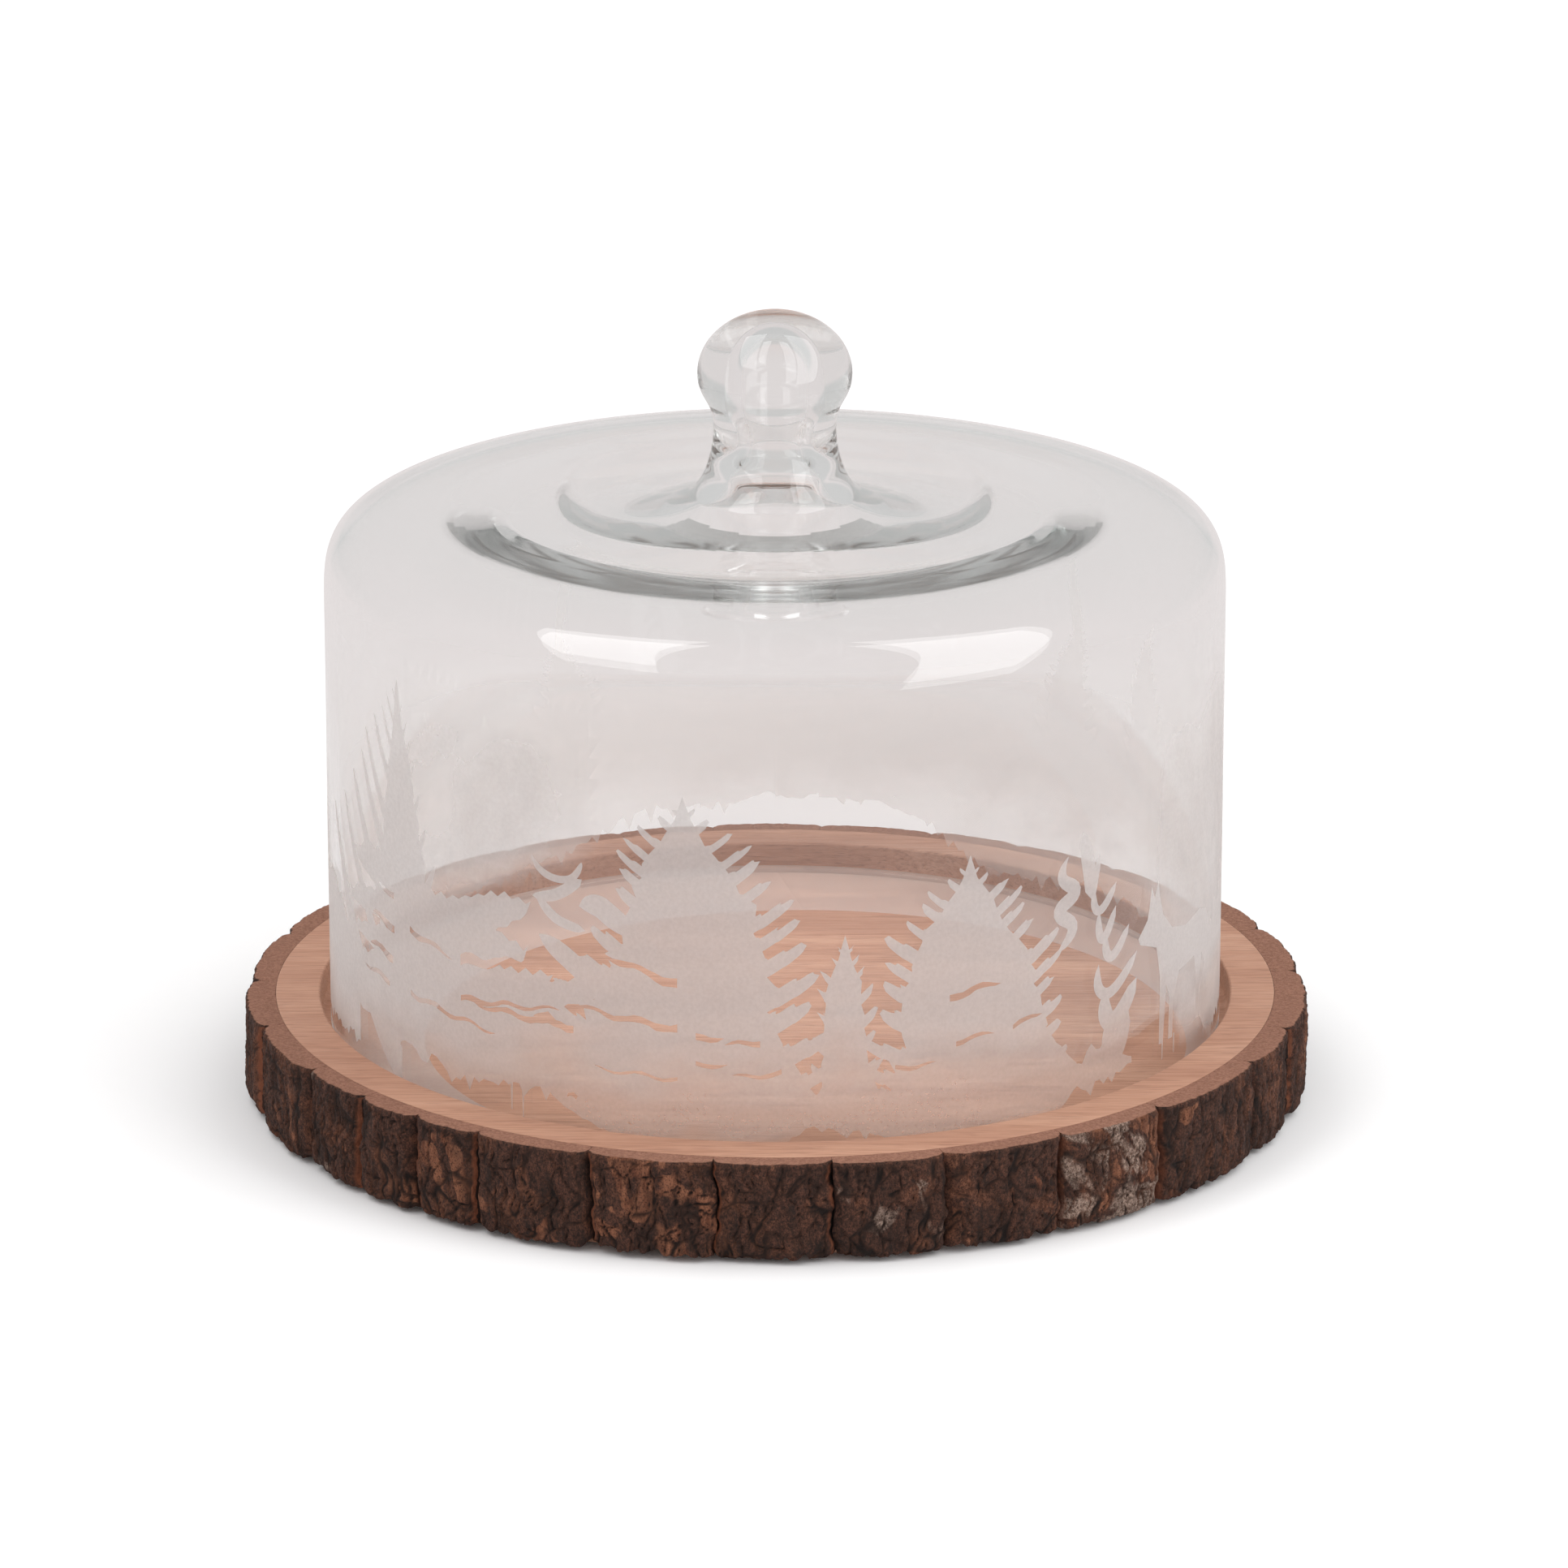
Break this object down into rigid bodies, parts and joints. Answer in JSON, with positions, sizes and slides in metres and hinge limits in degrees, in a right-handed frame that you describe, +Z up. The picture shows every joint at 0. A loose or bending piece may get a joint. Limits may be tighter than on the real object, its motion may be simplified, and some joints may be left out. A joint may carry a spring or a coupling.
{
  "type": "cheese dome",
  "caption": "Blown-glass bell with a hollow knob, lifting off a round planked wooden board with a recessed floor and a natural bark edge.",
  "frame": {"origin": "centre of the board, on the surface that it stands on", "axes": "+Z up along the axis of the bell and its knob, +X to the right along the planks' grain, -Y to the front of the printed scene"},
  "size_m": [0.3114, 0.3073, 0.2335],
  "materials": {
    "clear_glass": "clear blown glass with a matt frosted woodland print low on the outside",
    "board_wood": "reddish-tan planks, fine straight grain, dull oiled surface",
    "bark": "rough dark brown bark with paler flakes, its upper edge cut level with the board",
    "pad_rubber": "matt black rubber"
  },
  "bodies": {
    "board": {"plank_front": "board_wood", "plank_front_middle": "board_wood", "plank_middle": "board_wood", "plank_rear_middle": "board_wood", "plank_rear": "board_wood", "bark_plate_01": "bark", "bark_plate_02": "bark", "bark_plate_03": "bark", "bark_plate_04": "bark", "bark_plate_05": "bark", "bark_plate_06": "bark", "bark_plate_07": "bark", "bark_plate_08": "bark", "bark_plate_09": "bark", "bark_plate_10": "bark", "bark_plate_11": "bark", "bark_plate_12": "bark", "bark_plate_13": "bark", "bark_plate_14": "bark", "bark_plate_15": "bark", "bark_plate_16": "bark", "bark_plate_17": "bark", "bark_plate_18": "bark", "bark_plate_19": "bark", "bark_plate_20": "bark", "bark_plate_21": "bark", "bark_plate_22": "bark", "bark_plate_23": "bark", "bark_plate_24": "bark", "bark_plate_25": "bark", "bark_plate_26": "bark", "bark_plate_27": "bark", "pad_1": "pad_rubber", "pad_2": "pad_rubber", "pad_3": "pad_rubber", "pad_4": "pad_rubber"},
    "dome": {"glass_bell": "clear_glass", "glass_knob": "clear_glass"}
  },
  "joints": [
    {"name": "dome_lift", "type": "slide", "parent": "board", "child": "dome", "axis": [0, 0, 1], "range_m": [0, 0.2]}
  ]
}
